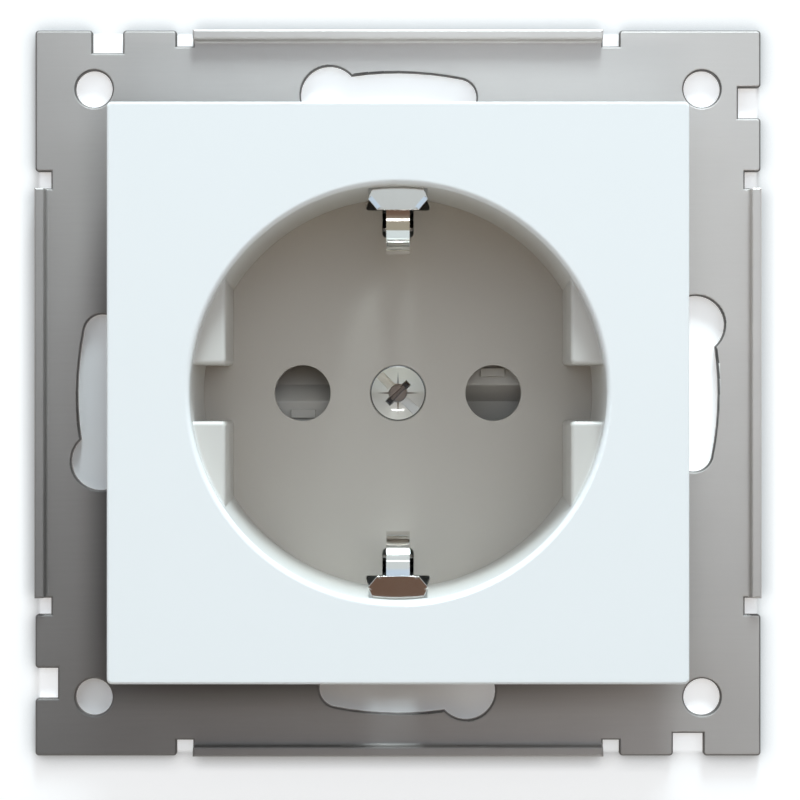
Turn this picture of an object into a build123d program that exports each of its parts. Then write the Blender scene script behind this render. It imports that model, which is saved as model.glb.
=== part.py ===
from build123d import *
import os

os.makedirs("parts", exist_ok=True)

# All sizes are in millimetres. +Z is up, +X is to the right as seen from the room, and the room is on
# the -Y side. The origin is on the socket's axis at the wall, so an offset of Plane.XZ counts forward.

# Clearances shared by several pieces
thread_gap = 0.05
pivot_gap = 0.1
hole_gap = 0.3
seat_gap = 0.25

# Centre plate
plate_width = 55.0
plate_front = 12.6
plate_corner_radius = 0.5
plate_edge_radius = 0.25
face_thickness = 2.2
skirt_wall = 2.0
skirt_rear = 5.0
stiffener_thickness = 1.2
stiffener_depth = 4.0

# Plug recess in the centre plate, and the plug's pins
recess_mouth_radius = 19.72
recess_floor_radius = 19.33
recess_depth = 17.5
recess_wall = 1.5
recess_rim_radius = 0.5
floor_thickness = 2.0
guide_half_gap = 16.4
guide_setback = 2.0
guide_slot_width = 5.4
guide_edge_radius = 0.4
guide_corner_radius = 0.45
pin_spacing = 19.0
pin_length = 19.0
pin_hole_radius = 2.785
boss_radius = 4.2

# Centre screw
centre_head_radius = 2.735
centre_head_gap = 0.1
centre_head_dome = 0.55
centre_shank_radius = 1.45
centre_tip_bevel = 0.5
centre_screw_reach = 2.0
centre_slot_width = 0.85
centre_slot_depth = 0.5
drive_pit_radius = 0.95
drive_pit_depth = 1.0
cross_arm_length = 1.5
cross_arm_width = 0.72
cross_extra_depth = 0.5

# Support frame
frame_width = 71.0
frame_sheet = 1.0
frame_corner_radius = 0.35
frame_edge_radius = 0.25
frame_opening_gap = 0.9
corner_hole_inset = 5.75
corner_hole_radius = 1.8
keyhole_round_radius = 2.83
keyhole_round_inset = 5.6
keyhole_round_angle = 12.9
keyhole_slot_inset = 4.15
keyhole_slot_width = 3.6
keyhole_slot_angle = 11.5
key_notch_width = 2.95
key_notch_depth = 2.2
key_notch_inset = 7.1
lip_length = 40.1
lip_height = 1.0
lip_bend_radius = 0.9
lip_root_radius = 0.35
relief_width = 1.6
relief_depth = 1.55

# Rivets
rivet_shank_radius = 1.4
rivet_hole_gap = 0.12
rivet_head_radius = 2.4
rivet_head_height = 0.8
rivet_head_edge = 0.25
rivet_foot_radius = 2.0
rivet_foot_height = 0.7
rivet_foot_edge = 0.35
rivet_foot_gap = 0.35
lug_radius = 2.9
lug_thickness = 2.6

# Shutter and its spring
shutter_turn = 38.0
shutter_depth = 3.4
shutter_front_gap = 0.3
shutter_rear_gap = 0.4
hub_flange = 1.8
hub_wall = 0.7
hub_flange_width = 1.2
wing_setback = 0.3
wing_inner = 4.6
wing_reach = 13.2
wing_crest = 0.835
wing_knee = -0.84
wing_knee_depth = 1.7
wing_edge = -3.0
wing_edge_thickness = 0.7
crest_radius = 0.3
wing_tab_width = 2.45
wing_tab_low = 1.67
wing_tab_high = 2.5
wing_tab_height = 0.35
spring_wire_radius = 0.25
spring_coil_gap = 0.35
spring_seat_gap = 0.8
spring_pitch = 0.6
spring_turns = 2
spring_leg = 8.0

# Contact cover
cover_thickness = 1.6
cover_rim_gap = 0.3
cover_pin_hole_radius = 3.0
cover_slot_width = 4.4
cover_slot_length = 2.5
stop_radius = 0.7
stop_height = 2.8
rest_stop_reach = 11.5
open_stop_reach = 9.5
spring_peg_x = -6.5

# Line and neutral contacts
contact_sheet = 0.8
contact_bend = 1.2
leaf_offset = 2.85
loop_top = 4.4
flare_offset = 3.5
flare_end = -4.1
flare_start = -2.7
leaf_bottom = -4.6
neck_width = 2.1
neck_gap = 0.6
tail_half_width = 2.4
tail_overhang = 0.9

# Wire clamps and their screws
clamp_width = 8.0
clamp_wall = 0.8
clamp_screw_wall = 1.2
clamp_length = 5.0
clamp_corner_radius = 0.7
clamp_gap = 0.4
clamp_leaf_gap = 1.1
clamp_screw_space = 1.8
wire_space = 4.6
terminal_shank_radius = 1.7
terminal_tip_gap = 0.1
terminal_tip_bevel = 0.4
terminal_head_radius = 2.9
terminal_head_height = 2.4
terminal_head_edge = 0.4
terminal_head_setback = 0.9
terminal_lift = 1.9
terminal_slot_width = 0.9
terminal_slot_depth = 1.1

# Earth bridge with the two side clips
bridge_sheet = 0.7
bridge_half_width = 4.4
bridge_wide_top = 6.5
bridge_wide_bottom = -13.6
strap_bar_width = 3.6
strap_width = 2.25
strap_flare = 1.0
leg_inset = 1.68
clip_bend = 0.9
clip_curl_radius = 4.1
clip_corner_inset = 5.77
clip_head_setback = 4.0
clip_head_width = 5.75
clip_head_inset = 0.89
clip_end_width = 3.96
clip_low_inset = 0.16
clip_tip_outset = 2.95
clip_lip_width = 0.45
clip_lip_height = 0.065
tab_window_top = -2.9
tab_half_width = 2.6
tab_window_gap = 0.3
clip_window_outset = 0.55
clip_window_setback = 2.3
clip_window_corner = 0.2
clip_window_gap = 0.275
clip_slot_inset = 2.15
clip_slot_outset = 0.9
clip_slot_gap = 0.425
clip_slot_corner = 0.4

# Base housing
base_wall = 1.6
cup_gap = 0.5
pin_end_gap = 0.5
base_back_wall = 2.0
base_back_edge = 0.8
deck_wall = 1.3
block_side_cut = 2.13
block_corner_radius = 1.5
block_top_wall = 1.9
core_wall = 1.5
core_top = 5.0
core_bottom = -9.0
core_front = 17.0
core_corner = 0.6
wire_window_width = 5.8
wire_window_corner = 0.6

# Claws and their screws
claw_sheet = 1.2
claw_gap = 0.3
claw_deck = 1.6
claw_half_width = 4.0
claw_tab_reach = 3.0
claw_leg_length = 11.4
claw_hook_length = 4.5
claw_bend_radius = 0.5
claw_tooth_depth = 1.4
claw_slot_length = 4.2
claw_slot_width = 3.3
claw_seat_gap = 0.5
claw_seat_margin = 1.0
claw_shank_radius = 1.4
claw_shank_gap = 0.7
claw_tip_bevel = 0.4
claw_screw_reach = 0.6
claw_drive_width = 0.75
claw_drive_depth = 0.95
claw_head_radius = 2.6
claw_head_height = 1.7
claw_head_edge = 0.6

# Levels along the socket's axis, counted forward for the plate and backward for what is in the wall
recess_floor = plate_front - recess_depth
floor_back = recess_floor - floor_thickness
shutter_front = shutter_front_gap - floor_back
hub_step = shutter_front + hub_flange
shutter_rear = shutter_front + shutter_depth
wing_land = shutter_front + wing_setback
ramp_knee = wing_land + wing_knee_depth
ramp_foot = shutter_rear - wing_edge_thickness
cover_front = shutter_rear + shutter_rear_gap
deck_depth = cover_front + cover_thickness
bridge_level = deck_depth + seat_gap + bridge_sheet / 2
bar_front = bridge_level - bridge_sheet / 2
channel_depth = bridge_level + bridge_sheet / 2 + seat_gap
deck_rear = channel_depth + deck_wall
centre_screw_tip = bar_front + bridge_sheet + centre_screw_reach
contact_front = deck_depth + seat_gap
neck_rear = contact_front + neck_width
clamp_front = neck_rear + neck_gap
clamp_rear = clamp_front + clamp_length
terminal_level = (clamp_front + clamp_rear) / 2
tail_rear = clamp_rear + tail_overhang
chamber_rear = pin_length - recess_floor + pin_end_gap
contact_rear = chamber_rear - seat_gap
base_rear = chamber_rear + base_back_wall
claw_front = deck_depth + claw_deck
claw_leg_rear = claw_front + claw_leg_length
claw_screw_tip = claw_front + claw_sheet + claw_screw_reach
clip_head_level = clip_head_setback - plate_front
clip_head_front = clip_head_level - bridge_sheet / 2
leg_knee = -floor_back - seat_gap

# Radii and offsets from the socket's axis
pin_reach = pin_spacing / 2
head_seat_radius = centre_head_radius + centre_head_gap
shank_hole_radius = centre_shank_radius + hole_gap
mouth_radius = recess_floor_radius + recess_wall + cup_gap
base_radius = mouth_radius + base_wall
frame_opening_radius = mouth_radius + frame_opening_gap
frame_half = frame_width / 2
corner_hole_spacing = frame_width - 2 * corner_hole_inset
key_notch_reach = frame_half - key_notch_inset
keyhole_round_reach = frame_half - keyhole_round_inset
keyhole_slot_outer = frame_half - keyhole_slot_inset
keyhole_slot_mid = keyhole_slot_outer - keyhole_slot_width / 2
keyhole_sweep = keyhole_slot_angle + keyhole_round_angle
relief_reach = (lip_length + relief_width) / 2
rivet_reach = base_radius + rivet_foot_radius + rivet_foot_gap
rivet_offset = rivet_reach / 2**0.5
rivet_hole_radius = rivet_shank_radius + rivet_hole_gap
hub_bore = boss_radius + pivot_gap
hub_neck_radius = hub_bore + hub_wall
hub_radius = hub_neck_radius + hub_flange_width
spring_coil_radius = hub_neck_radius + spring_coil_gap + spring_wire_radius
spring_seat_radius = spring_coil_radius + spring_wire_radius + spring_seat_gap
spring_height = spring_pitch * spring_turns
spring_front = hub_step + spring_wire_radius + thread_gap
wing_top = spring_coil_radius - spring_wire_radius - hole_gap
spring_peg_z = spring_coil_radius + spring_wire_radius + stop_radius + hole_gap
rest_stop_drop = wing_edge - stop_radius - hole_gap
open_stop = Vector(open_stop_reach, 0, wing_top + stop_radius + hole_gap).rotate(Axis.Y, -shutter_turn)
leg_reach = recess_floor_radius - leg_inset
clip_corner_reach = leg_reach - clip_corner_inset
clip_low_reach = leg_reach - clip_low_inset
clip_head_reach = leg_reach + clip_head_inset
clip_tip_reach = leg_reach + clip_tip_outset
clip_window_inner = leg_reach + clip_window_outset
clip_window_outer = clip_tip_reach + clip_window_gap
clip_slot_inner = leg_reach - clip_slot_inset
clip_slot_outer = leg_reach + clip_slot_outset
clip_window_width = clip_head_width + 2 * clip_window_gap
clip_slot_width = strap_width + 2 * clip_slot_gap
claw_screw_x = base_radius + claw_shank_radius + claw_shank_gap
block_half_width = base_radius - block_side_cut
claw_leg_x = block_half_width + claw_gap

# Heights of the terminals
clamp_top = leaf_bottom - clamp_leaf_gap
wire_top = clamp_top - clamp_wall
wire_bottom = wire_top - wire_space
tail_level = wire_bottom - contact_sheet / 2
clamp_inner_bottom = wire_bottom - contact_sheet - clamp_screw_space
clamp_bottom = clamp_inner_bottom - clamp_screw_wall
chamber_width = clamp_width + 2 * clamp_gap
chamber_top = loop_top + contact_sheet / 2 + clamp_gap
chamber_bottom = clamp_bottom - clamp_gap
earth_chamber_top = clamp_top + clamp_gap
terminal_screw_tip = wire_bottom - contact_sheet - terminal_tip_gap
terminal_head_top = chamber_bottom - terminal_lift
terminal_head_bottom = terminal_head_top - terminal_head_height
block_bottom = terminal_head_bottom - terminal_head_setback
block_top = chamber_top + block_top_wall

# Centre plate: face, skirt, drafted plug recess with its guides, pin holes and clip windows in one moulding
with BuildPart() as centre_plate:
    with BuildSketch(Plane.XZ.offset(skirt_rear)):
        RectangleRounded(plate_width, plate_width, plate_corner_radius)
    extrude(amount=plate_front - skirt_rear)
    fillet(centre_plate.faces().sort_by(Axis.Y)[0].edges(), plate_edge_radius)
    with BuildSketch(Plane.XZ.offset(skirt_rear)):
        Rectangle(plate_width - 2 * skirt_wall, plate_width - 2 * skirt_wall)
    extrude(amount=plate_front - face_thickness - skirt_rear, mode=Mode.SUBTRACT)
    with BuildSketch(Plane.XZ.offset(plate_front - face_thickness)):
        Rectangle(stiffener_thickness, plate_width - skirt_wall)
        Rectangle(plate_width - skirt_wall, stiffener_thickness)
        with Locations(Rotation(0, 0, 45)):
            Rectangle(stiffener_thickness, (plate_width - skirt_wall) * 2**0.5)
            Rectangle((plate_width - skirt_wall) * 2**0.5, stiffener_thickness)
    extrude(amount=-stiffener_depth)
    with BuildSketch(Plane.XY):
        with BuildLine():
            Polyline(
                (0, -floor_back),
                (recess_floor_radius + recess_wall, -floor_back),
                (recess_mouth_radius + recess_wall, -plate_front + face_thickness),
                (0, -plate_front + face_thickness),
                close=True,
            )
        make_face()
    revolve(axis=Axis.Y)
    with BuildSketch(Plane.XZ.offset(floor_back)):
        Circle(boss_radius)
    extrude(amount=-(cover_front + floor_back))
    with BuildSketch(Plane.XY):
        with BuildLine():
            Polyline(
                (0, -recess_floor),
                (recess_floor_radius, -recess_floor),
                (recess_mouth_radius, -plate_front),
                (0, -plate_front),
                close=True,
            )
        make_face()
    revolve(axis=Axis.Y, mode=Mode.SUBTRACT)
    rings = centre_plate.edges().filter_by(GeomType.CIRCLE)
    mouth = rings.filter_by(lambda e: abs(e.radius - recess_mouth_radius) < 0.01)
    fillet(mouth, recess_rim_radius)
    with BuildSketch(Plane.XZ.offset(recess_floor)):
        Circle(recess_floor_radius + recess_wall / 2)
        Rectangle(2 * guide_half_gap, 2 * plate_width, mode=Mode.SUBTRACT)
        Rectangle(2 * plate_width, guide_slot_width, mode=Mode.SUBTRACT)
        corners = [v for v in vertices() if abs(abs(v.X) - guide_half_gap) < 0.01]
        fillet([v for v in corners if abs(abs(v.Y) - guide_slot_width / 2) < 0.01], guide_corner_radius)
    extrude(amount=recess_depth - guide_setback)
    guide_rims = centre_plate.edges().filter_by_position(
        Axis.Y, guide_setback - plate_front - 0.01, guide_setback - plate_front + 0.01
    )
    wall_arcs = guide_rims.filter_by(GeomType.CIRCLE).filter_by(lambda e: e.radius > guide_half_gap)
    fillet([e for e in guide_rims if e not in wall_arcs], guide_edge_radius)
    with BuildSketch(Plane.XZ.offset(recess_floor)):
        with Locations((-pin_reach, 0), (pin_reach, 0)):
            Circle(pin_hole_radius)
    extrude(amount=-floor_thickness, mode=Mode.SUBTRACT)
    with BuildSketch(Plane.XY):
        with BuildLine():
            Polyline(
                (0, -recess_floor),
                (head_seat_radius, -recess_floor),
                (shank_hole_radius, head_seat_radius - shank_hole_radius - recess_floor),
                (shank_hole_radius, cover_front),
                (0, cover_front),
                close=True,
            )
        make_face()
    revolve(axis=Axis.Y, mode=Mode.SUBTRACT)
    window_front = -plate_front + clip_window_setback
    with BuildSketch(Plane.XZ.offset(-window_front)) as window:
        with BuildLine():
            Polyline(
                (-clip_window_width / 2, clip_window_inner),
                (clip_window_width / 2, clip_window_inner),
                (clip_window_width / 2, clip_head_reach),
                (clip_end_width / 2 + clip_window_gap, clip_window_outer),
                (clip_end_width / 2 + clip_window_gap, base_radius),
                (-clip_end_width / 2 - clip_window_gap, base_radius),
                (-clip_end_width / 2 - clip_window_gap, clip_window_outer),
                (-clip_window_width / 2, clip_head_reach),
                close=True,
            )
        make_face()
        fillet(window.vertices().group_by(Axis.Y)[0], clip_window_corner)
    window_up = extrude(amount=window_front - base_rear, mode=Mode.PRIVATE)
    add(window_up, mode=Mode.SUBTRACT)
    mirror(window_up, about=Plane.XY, mode=Mode.SUBTRACT)
    with BuildSketch(Plane.XZ.offset(recess_floor)):
        slot_mid = (clip_slot_inner + clip_slot_outer) / 2
        with Locations((0, slot_mid), (0, -slot_mid)):
            RectangleRounded(clip_slot_width, clip_slot_outer - clip_slot_inner, clip_slot_corner)
    extrude(amount=-floor_thickness, mode=Mode.SUBTRACT)
centre_plate.part.label = "centre_plate"
export_step(centre_plate.part, "parts/centre_plate.step")

# Centre screw: raised countersunk head with a slot and a cross recess
with BuildPart() as centre_screw:
    with BuildSketch(Plane.XY):
        with BuildLine():
            Polyline(
                (centre_head_radius, -recess_floor),
                (centre_shank_radius, centre_head_radius - centre_shank_radius - recess_floor),
                (centre_shank_radius, centre_screw_tip - centre_tip_bevel),
                (centre_shank_radius - centre_tip_bevel, centre_screw_tip),
                (0, centre_screw_tip),
                (0, -recess_floor - centre_head_dome),
            )
            TangentArc(
                (0, -recess_floor - centre_head_dome),
                (centre_head_radius, -recess_floor),
                tangent=(1, 0),
            )
        make_face()
    revolve(axis=Axis.Y)
    with BuildSketch(Plane.XZ.offset(recess_floor + centre_head_dome)):
        Rectangle(centre_slot_width, 3 * centre_head_radius, rotation=45)
    extrude(amount=-centre_slot_depth, mode=Mode.SUBTRACT)
    with BuildSketch(Plane.XZ.offset(recess_floor + centre_head_dome)):
        Circle(drive_pit_radius)
    extrude(amount=-drive_pit_depth, taper=8, mode=Mode.SUBTRACT)
    with BuildSketch(Plane.XZ.offset(recess_floor + centre_head_dome)):
        Rectangle(2 * cross_arm_length, cross_arm_width, rotation=45)
    extrude(amount=-drive_pit_depth - cross_extra_depth, taper=8, mode=Mode.SUBTRACT)
centre_screw.part.label = "centre_screw"
export_step(centre_screw.part, "parts/centre_screw.step")

# Support frame: punched sheet with keyholes, key notches and four lips bent forward
with BuildSketch() as keyhole:
    with BuildLine():
        keyhole_arc = CenterArc((0, 0), keyhole_slot_mid, 90 - keyhole_slot_angle, keyhole_sweep)
    SlotArc(keyhole_arc, keyhole_slot_width)
    with PolarLocations(keyhole_round_reach, 1, start_angle=90 + keyhole_round_angle):
        Circle(keyhole_round_radius)

with BuildPart() as support_frame:
    with BuildSketch(Plane.XZ) as frame_outline:
        RectangleRounded(frame_width, frame_width, frame_corner_radius)
        Circle(frame_opening_radius, mode=Mode.SUBTRACT)
        with GridLocations(corner_hole_spacing, corner_hole_spacing, 2, 2):
            Circle(corner_hole_radius, mode=Mode.SUBTRACT)
        with GridLocations(2 * rivet_offset, 2 * rivet_offset, 2, 2):
            Circle(rivet_hole_radius, mode=Mode.SUBTRACT)
        with Locations((-claw_screw_x, 0), (claw_screw_x, 0)):
            Circle(claw_shank_radius + hole_gap, mode=Mode.SUBTRACT)
        with PolarLocations(0, 4):
            add(keyhole.sketch, mode=Mode.SUBTRACT)
            with Locations((-key_notch_reach, frame_half)):
                Rectangle(key_notch_width, 2 * key_notch_depth, mode=Mode.SUBTRACT)
            with Locations((-relief_reach, frame_half), (relief_reach, frame_half)):
                Rectangle(relief_width, 2 * relief_depth, mode=Mode.SUBTRACT)
        rim = frame_outline.vertices().filter_by(lambda v: max(abs(v.X), abs(v.Y)) > frame_half - 0.01)
        beside_lips = rim.filter_by(lambda v: min(abs(v.X), abs(v.Y)) > lip_length / 2 + 0.01)
        corner_start = frame_half - frame_corner_radius
        notch_mouths = beside_lips.filter_by(lambda v: min(abs(v.X), abs(v.Y)) < corner_start - 0.01)
        fillet(notch_mouths, frame_corner_radius)
    extrude(amount=frame_sheet)
    with BuildSketch(Plane.XZ):
        with PolarLocations(0, 4):
            with Locations((0, frame_half - frame_sheet / 2)):
                Rectangle(lip_length, frame_sheet)
    extrude(amount=frame_sheet + lip_height)
    straight = support_frame.edges().filter_by(lambda e: abs(e.length - lip_length) < 0.01)
    lip_backs = straight.filter_by_position(Axis.Y, -0.01, 0.01)
    fillet(lip_backs, lip_bend_radius)
    straight = support_frame.edges().filter_by(lambda e: abs(e.length - lip_length) < 0.01)
    lip_roots = straight.filter_by_position(Axis.Y, -frame_sheet - 0.01, -frame_sheet + 0.01)
    fillet(lip_roots, lip_root_radius)
    punched = support_frame.edges().filter_by_position(Axis.Y, -frame_sheet - 0.01, -frame_sheet + 0.01)
    fillet(punched.filter_by(lambda e: abs(e.length - lip_length) > 0.01), frame_edge_radius)
    fillet(support_frame.faces().group_by(Axis.Y)[0].edges(), frame_edge_radius)
support_frame.part.label = "support_frame"
export_step(support_frame.part, "parts/support_frame.step")

# Rivets: domed head before the frame, upset foot behind the lug
with BuildPart() as frame_rivets:
    with BuildSketch(Plane.XY):
        with BuildLine():
            Polyline(
                (0, lug_thickness + rivet_foot_height),
                (rivet_shank_radius, lug_thickness + rivet_foot_height),
                (rivet_foot_radius, lug_thickness + rivet_foot_edge),
                (rivet_foot_radius, lug_thickness),
                (rivet_shank_radius, lug_thickness),
                (rivet_shank_radius, -frame_sheet),
                (rivet_head_radius, -frame_sheet),
                (rivet_head_radius, -frame_sheet - rivet_head_edge),
            )
            TangentArc(
                (0, -frame_sheet - rivet_head_height),
                (rivet_head_radius, -frame_sheet - rivet_head_edge),
                tangent=(1, 0),
            )
            Line((0, -frame_sheet - rivet_head_height), (0, lug_thickness + rivet_foot_height))
        make_face()
    rivet = revolve(axis=Axis.Y, mode=Mode.PRIVATE)
    with Locations(
        (-rivet_offset, 0, -rivet_offset),
        (-rivet_offset, 0, rivet_offset),
        (rivet_offset, 0, -rivet_offset),
        (rivet_offset, 0, rivet_offset),
    ):
        add(rivet)
frame_rivets.part.label = "frame_rivets"
export_step(frame_rivets.part, "parts/frame_rivets.step")

# Base housing: mouth ring and deck, riveting lugs, rear block with the chambers and wire windows
with BuildPart() as base_housing:
    with BuildSketch(Plane.XZ):
        Circle(base_radius)
    extrude(amount=-deck_rear)
    with BuildSketch(Plane.XZ):
        with PolarLocations(0, 4, start_angle=45):
            with Locations((rivet_reach - lug_radius, 0)):
                SlotOverall(4 * lug_radius, 2 * lug_radius)
    extrude(amount=-lug_thickness)
    with BuildSketch(Plane.XZ.offset(-deck_rear)):
        Circle(base_radius)
        with Locations((0, (block_top + block_bottom) / 2)):
            Rectangle(2 * block_half_width, block_top - block_bottom, mode=Mode.INTERSECT)
        fillet(vertices(), block_corner_radius)
    extrude(amount=deck_rear - base_rear)
    rear_rim = base_housing.faces().sort_by(Axis.Y)[-1].edges()
    fillet(rear_rim, base_back_edge)
    with BuildSketch(Plane.XZ.offset(claw_seat_gap - claw_front)):
        with Locations((block_half_width + plate_width / 2, 0), (-block_half_width - plate_width / 2, 0)):
            Rectangle(plate_width, 2 * (claw_half_width + claw_seat_margin))
    extrude(amount=claw_front - claw_seat_gap - base_rear, mode=Mode.SUBTRACT)
    with BuildSketch(Plane.XZ):
        Circle(mouth_radius)
    extrude(amount=-deck_depth, mode=Mode.SUBTRACT)
    with BuildSketch(Plane.XZ):
        with GridLocations(2 * rivet_offset, 2 * rivet_offset, 2, 2):
            Circle(rivet_hole_radius)
    extrude(amount=-lug_thickness, mode=Mode.SUBTRACT)
    with BuildSketch(Plane.XZ.offset(-deck_depth)):
        with Locations((0, (bridge_wide_top + bridge_wide_bottom) / 2)):
            Rectangle(
                2 * (bridge_half_width + hole_gap),
                bridge_wide_top - bridge_wide_bottom + 2 * hole_gap,
            )
        Rectangle(strap_bar_width + 2 * hole_gap, 2 * (leg_reach + bridge_sheet / 2 + hole_gap))
    extrude(amount=deck_depth - channel_depth, mode=Mode.SUBTRACT)
    with BuildSketch(Plane.XZ.offset(-deck_depth)):
        chamber_mid = (chamber_top + chamber_bottom) / 2
        with Locations((-pin_reach, chamber_mid), (pin_reach, chamber_mid)):
            Rectangle(chamber_width, chamber_top - chamber_bottom)
        with Locations((0, (earth_chamber_top + chamber_bottom) / 2)):
            Rectangle(chamber_width, earth_chamber_top - chamber_bottom)
    extrude(amount=deck_depth - chamber_rear, mode=Mode.SUBTRACT)
    with BuildSketch(Plane.XZ.offset(-deck_depth)):
        Circle(shank_hole_radius)
    extrude(amount=deck_depth - centre_screw_tip - centre_screw_reach, mode=Mode.SUBTRACT)
    with BuildSketch(Plane.XZ.offset(-base_rear)):
        window_mid = (wire_top + wire_bottom) / 2
        with Locations((-pin_reach, window_mid), (0, window_mid), (pin_reach, window_mid)):
            RectangleRounded(wire_window_width, wire_top - wire_bottom, wire_window_corner)
    extrude(amount=base_rear - chamber_rear, mode=Mode.SUBTRACT)
    with BuildSketch(Plane.XY.offset(block_bottom)):
        with Locations((-pin_reach, terminal_level), (0, terminal_level), (pin_reach, terminal_level)):
            Circle(terminal_head_radius + hole_gap)
    extrude(amount=chamber_bottom - block_bottom, mode=Mode.SUBTRACT)
    with BuildSketch(Plane.XZ.offset(-base_rear)):
        core_inner = pin_reach + chamber_width / 2 + core_wall
        core_outer = block_half_width - core_wall
        core_x = (core_inner + core_outer) / 2
        core_z = (core_top + core_bottom) / 2
        with Locations((-core_x, core_z), (core_x, core_z)):
            RectangleRounded(core_outer - core_inner, core_top - core_bottom, core_corner)
    extrude(amount=base_rear - core_front, mode=Mode.SUBTRACT)
base_housing.part.label = "base_housing"
export_step(base_housing.part, "parts/base_housing.step")

# Contact cover: disc on the deck, with shutter stops and the spring's peg
with BuildPart() as contact_cover:
    with BuildSketch(Plane.XZ.offset(-deck_depth)):
        Circle(mouth_radius - cover_rim_gap)
        with Locations((-pin_reach, 0), (pin_reach, 0)):
            Circle(cover_pin_hole_radius, mode=Mode.SUBTRACT)
        Circle(shank_hole_radius, mode=Mode.SUBTRACT)
        with Locations((0, leg_reach), (0, -leg_reach)):
            Rectangle(cover_slot_width, cover_slot_length, mode=Mode.SUBTRACT)
    extrude(amount=cover_thickness)
    with BuildSketch(Plane.XZ.offset(-cover_front)):
        with Locations((rest_stop_reach, rest_stop_drop), (-rest_stop_reach, -rest_stop_drop)):
            Circle(stop_radius)
        with Locations((open_stop.X, open_stop.Z), (-open_stop.X, -open_stop.Z)):
            Circle(stop_radius)
        with Locations((spring_peg_x, spring_peg_z)):
            Circle(stop_radius)
    extrude(amount=stop_height)
contact_cover.part.label = "contact_cover"
export_step(contact_cover.part, "parts/contact_cover.step")

# Shutter: hub on the boss and two wings whose ramps turn it when both pins push
with BuildPart() as shutter:
    with BuildSketch(Plane.YZ.offset(wing_inner)):
        with BuildLine():
            Polyline(
                (wing_land, wing_top),
                (wing_land, wing_crest),
                (ramp_knee, wing_knee),
                (ramp_foot, wing_edge),
                (shutter_rear, wing_edge),
                (shutter_rear, wing_top),
                close=True,
            )
        make_face()
    extrude(amount=wing_reach - wing_inner)
    crest = shutter.edges().filter_by(Axis.X).sort_by_distance((wing_reach, wing_land, wing_crest))[0]
    fillet(crest, crest_radius)
    with BuildSketch(Plane.XZ.offset(-wing_land)):
        with Locations((pin_reach, (wing_tab_low + wing_tab_high) / 2)):
            Rectangle(wing_tab_width, wing_tab_high - wing_tab_low)
    extrude(amount=wing_tab_height)
    with BuildSketch(Plane.XZ.offset(-shutter_rear)):
        Circle(wing_reach)
    extrude(amount=shutter_rear - wing_land + wing_tab_height, mode=Mode.INTERSECT)
    add(shutter.part.rotate(Axis.Y, 180))
    with BuildSketch(Plane.XZ.offset(-hub_step)):
        Circle(hub_radius)
    extrude(amount=hub_step - shutter_front)
    with BuildSketch(Plane.XZ.offset(-hub_step)):
        Circle(spring_seat_radius)
    extrude(amount=hub_step - shutter_rear, mode=Mode.SUBTRACT)
    with BuildSketch(Plane.XZ.offset(-hub_step)):
        Circle(hub_neck_radius)
    extrude(amount=hub_step - shutter_rear)
    with BuildSketch(Plane.XZ.offset(-shutter_rear)):
        Circle(hub_bore)
    extrude(amount=shutter_rear - shutter_front, mode=Mode.SUBTRACT)
shutter.part.label = "shutter"
export_step(shutter.part, "parts/shutter.step")

# Shutter spring: coil around the hub's neck with one leg on the wing and one behind the peg
coil_plane = Plane(origin=(0, spring_front, 0), x_dir=(0, 0, 1), z_dir=(0, 1, 0))
coil = coil_plane * Helix(spring_pitch, spring_height, spring_coil_radius)
with BuildPart() as shutter_spring:
    with BuildSketch(Plane(origin=coil @ 0, z_dir=coil % 0)):
        Circle(spring_wire_radius)
    sweep(path=coil)
    with BuildSketch(Plane(origin=coil @ 0, z_dir=coil % 0)):
        Circle(spring_wire_radius)
    extrude(amount=-spring_leg)
    with BuildSketch(Plane(origin=coil @ 1, z_dir=coil % 1)):
        Circle(spring_wire_radius)
    extrude(amount=spring_leg)
shutter_spring.part.label = "shutter_spring"
export_step(shutter_spring.part, "parts/shutter_spring.step")

# Line contact: looped strip whose two leaves grip the pin, with a tail bent into the clamp
with BuildPart() as line_contact:
    with BuildSketch(Plane.XZ.offset(-contact_rear)):
        with BuildLine():
            FilletPolyline(
                (flare_offset - pin_reach, flare_end),
                (leaf_offset - pin_reach, flare_start),
                (leaf_offset - pin_reach, loop_top),
                (-leaf_offset - pin_reach, loop_top),
                (-leaf_offset - pin_reach, tail_level),
                (tail_half_width - pin_reach, tail_level),
                radius=contact_bend,
            )
        trace(line_width=contact_sheet)
    extrude(amount=contact_rear - contact_front)
    with BuildSketch(Plane.XZ.offset(-contact_rear)):
        with Locations((-pin_reach - tail_half_width - chamber_width / 2, leaf_bottom + tail_level)):
            Rectangle(chamber_width, -2 * tail_level)
    extrude(amount=contact_rear - neck_rear, mode=Mode.SUBTRACT)
    with BuildSketch(Plane.XZ.offset(-contact_rear)):
        with Locations((-pin_reach, tail_level)):
            Rectangle(chamber_width, 4 * contact_sheet)
    extrude(amount=contact_rear - tail_rear, mode=Mode.SUBTRACT)
line_contact.part.label = "line_contact"
export_step(line_contact.part, "parts/line_contact.step")

# Neutral contact: the line contact's mirror image
with BuildPart() as neutral_contact:
    mirror(line_contact.part, about=Plane.YZ)
neutral_contact.part.label = "neutral_contact"
export_step(neutral_contact.part, "parts/neutral_contact.step")

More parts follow.
